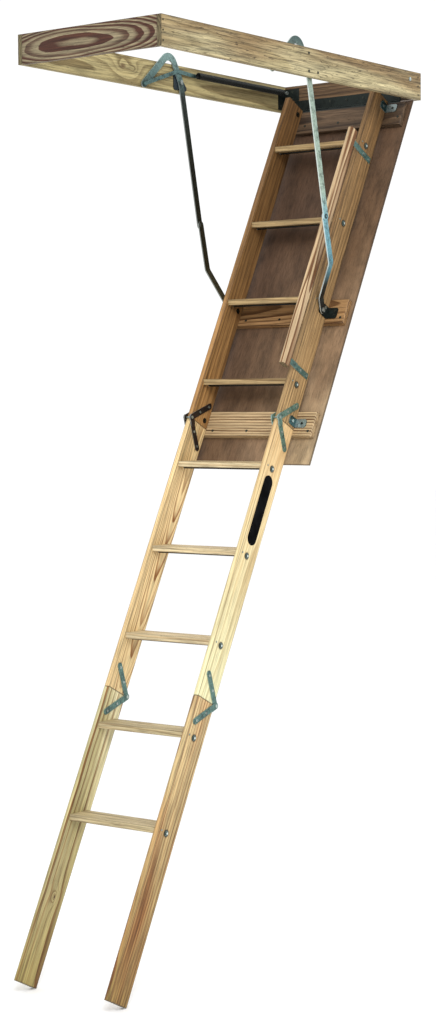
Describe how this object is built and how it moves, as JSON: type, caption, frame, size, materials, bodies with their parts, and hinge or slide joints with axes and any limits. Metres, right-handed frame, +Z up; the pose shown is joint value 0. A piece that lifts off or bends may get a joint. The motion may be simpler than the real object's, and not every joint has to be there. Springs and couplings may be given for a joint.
{
  "type": "folding attic ladder",
  "caption": "Folding wooden attic ladder hanging from its ceiling frame, with a plywood door, hinged sections, spring-loaded steel arms and a handrail.",
  "frame": {"origin": "centre of the hinge header's outer face", "axes": "+X to the climber's right, +Y out of the hinge end of the frame, +Z up"},
  "size_m": [0.5628, 1.6056, 2.9462],
  "materials": {
    "badge_plastic": "plain, satin",
    "bright_steel": "bright zinc plated",
    "cleat_pine": "striped pine, matt",
    "dark_steel": "dark plated",
    "door_plywood": "bare hardwood plywood, matt",
    "frame_pine": "planed pine, matt",
    "free_end_pine": "darker planed pine, matt",
    "galvanised_steel": "galvanised, slightly dulled",
    "handrail_wood": "smooth hardwood, eased edges",
    "left_board_pine": "knotty planed pine, matt",
    "pale_rail_pine": "pale planed pine, matt",
    "rail_pine": "planed pine, matt",
    "spring_steel": "black oiled",
    "tread_pine": "planed pine, matt"
  },
  "bodies": {
    "frame": {"arm_pivot_bolts": "bright_steel", "arm_pivot_plates": "galvanised_steel", "corner_brackets": "galvanised_steel", "door_hinge_pin": "dark_steel", "frame_corner_nails": "bright_steel", "frame_hinge_leaf": "dark_steel", "frame_screws_and_bolts": "bright_steel", "frame_side_board_left": "left_board_pine", "frame_side_board_right": "frame_pine", "free_end_board": "free_end_pine", "hinge_header_board": "frame_pine", "spring_anchor_bolts": "bright_steel"},
    "door_and_top_section": {"arm_foot_bolts": "bright_steel", "arm_foot_brackets": "dark_steel", "bottom_cleat": "cleat_pine", "door_hinge_leaf": "dark_steel", "door_panel": "door_plywood", "door_screws": "bright_steel", "handrail": "handrail_wood", "handrail_brackets": "galvanised_steel", "middle_cleat": "cleat_pine", "rail_angle_bolts": "bright_steel", "rail_angles": "galvanised_steel", "top_cleat": "cleat_pine", "top_rail_left": "rail_pine", "top_rail_right": "rail_pine", "top_section_screws": "bright_steel", "top_tie_rods": "bright_steel", "top_tread_1": "tread_pine", "top_tread_2": "tread_pine", "top_tread_3": "tread_pine", "top_tread_4": "tread_pine", "upper_joint_pins": "bright_steel", "upper_joint_top_straps": "dark_steel"},
    "middle_section": {"lower_joint_middle_straps": "galvanised_steel", "lower_joint_pins": "bright_steel", "middle_rail_left": "rail_pine", "middle_rail_right": "pale_rail_pine", "middle_section_screws": "bright_steel", "middle_tie_rods": "bright_steel", "middle_tread_1": "tread_pine", "middle_tread_2": "tread_pine", "middle_tread_3": "tread_pine", "rail_badge": "badge_plastic", "upper_joint_middle_straps": "dark_steel"},
    "bottom_section": {"bottom_rail_left": "rail_pine", "bottom_rail_right": "rail_pine", "bottom_section_screws": "bright_steel", "bottom_tie_rods": "bright_steel", "bottom_tread_1": "tread_pine", "bottom_tread_2": "tread_pine", "lower_joint_bottom_straps": "galvanised_steel"},
    "upper_arm_right": {"upper_arm_right": "galvanised_steel"},
    "lower_arm_right": {"lower_arm_right": "galvanised_steel"},
    "lift_spring_right": {"lift_spring_right": "spring_steel"},
    "spring_link_right": {"spring_link_right": "galvanised_steel"},
    "upper_arm_left": {"upper_arm_left": "galvanised_steel"},
    "lower_arm_left": {"lower_arm_left": "galvanised_steel"},
    "lift_spring_left": {"lift_spring_left": "spring_steel"},
    "spring_link_left": {"spring_link_left": "galvanised_steel"}
  },
  "joints": [
    {"name": "door_swing", "type": "hinge", "parent": "frame", "child": "door_and_top_section", "pos_m": [0, -0.0416, -0.046], "axis": [-1, 0, 0], "range_deg": [0, 57]},
    {"name": "section_fold", "type": "hinge", "parent": "door_and_top_section", "child": "middle_section", "pos_m": [0, -0.7315, -1.13006], "axis": [-1, 0, 0], "range_deg": [0, 180]},
    {"name": "bottom_fold", "type": "hinge", "parent": "middle_section", "child": "bottom_section", "pos_m": [0, -1.08319, -2.02237], "axis": [-1, 0, 0], "range_deg": [-180, 0]},
    {"name": "upper_arm_pivot_right", "type": "hinge", "parent": "frame", "child": "upper_arm_right", "pos_m": [0.2575, -0.658, -0.01], "axis": [-1, 0, 0], "range_deg": [0, 121.96]},
    {"name": "lower_arm_pivot_right", "type": "hinge", "parent": "door_and_top_section", "child": "lower_arm_right", "pos_m": [0.1959, -0.48741, -0.77904], "axis": [-1, 0, 0], "range_deg": [-86.74, 0]},
    {"name": "spring_pivot_right", "type": "hinge", "parent": "frame", "child": "lift_spring_right", "pos_m": [0.2394, -0.072, 0.0185], "axis": [-1, 0, 0], "range_deg": [0, 22.88]},
    {"name": "spring_stretch_right", "type": "slide", "parent": "lift_spring_right", "child": "spring_link_right", "axis": [0, 1, 0], "range_m": [0, 0.2597]},
    {"name": "upper_arm_pivot_left", "type": "hinge", "parent": "frame", "child": "upper_arm_left", "pos_m": [-0.2575, -0.658, -0.01], "axis": [-1, 0, 0], "range_deg": [0, 121.96]},
    {"name": "lower_arm_pivot_left", "type": "hinge", "parent": "door_and_top_section", "child": "lower_arm_left", "pos_m": [-0.1959, -0.48741, -0.77904], "axis": [-1, 0, 0], "range_deg": [-86.74, 0]},
    {"name": "spring_pivot_left", "type": "hinge", "parent": "frame", "child": "lift_spring_left", "pos_m": [-0.2394, -0.072, 0.0185], "axis": [-1, 0, 0], "range_deg": [0, 22.88]},
    {"name": "spring_stretch_left", "type": "slide", "parent": "lift_spring_left", "child": "spring_link_left", "axis": [0, 1, 0], "range_m": [0, 0.2597]}
  ],
  "couplings": [
    {"joint": "bottom_fold", "follows": "section_fold", "ratio": -1},
    {"joint": "upper_arm_pivot_right", "follows": "door_swing", "ratio": 2.1379},
    {"joint": "lower_arm_pivot_right", "follows": "door_swing", "ratio": -1.5199},
    {"joint": "spring_pivot_right", "follows": "door_swing", "ratio": 0.39958},
    {"joint": "spring_stretch_right", "follows": "door_swing", "m_per_rad": 0.26051},
    {"joint": "upper_arm_pivot_left", "follows": "door_swing", "ratio": 2.1379},
    {"joint": "lower_arm_pivot_left", "follows": "door_swing", "ratio": -1.5199},
    {"joint": "spring_pivot_left", "follows": "door_swing", "ratio": 0.39958},
    {"joint": "spring_stretch_left", "follows": "door_swing", "m_per_rad": 0.26051}
  ]
}
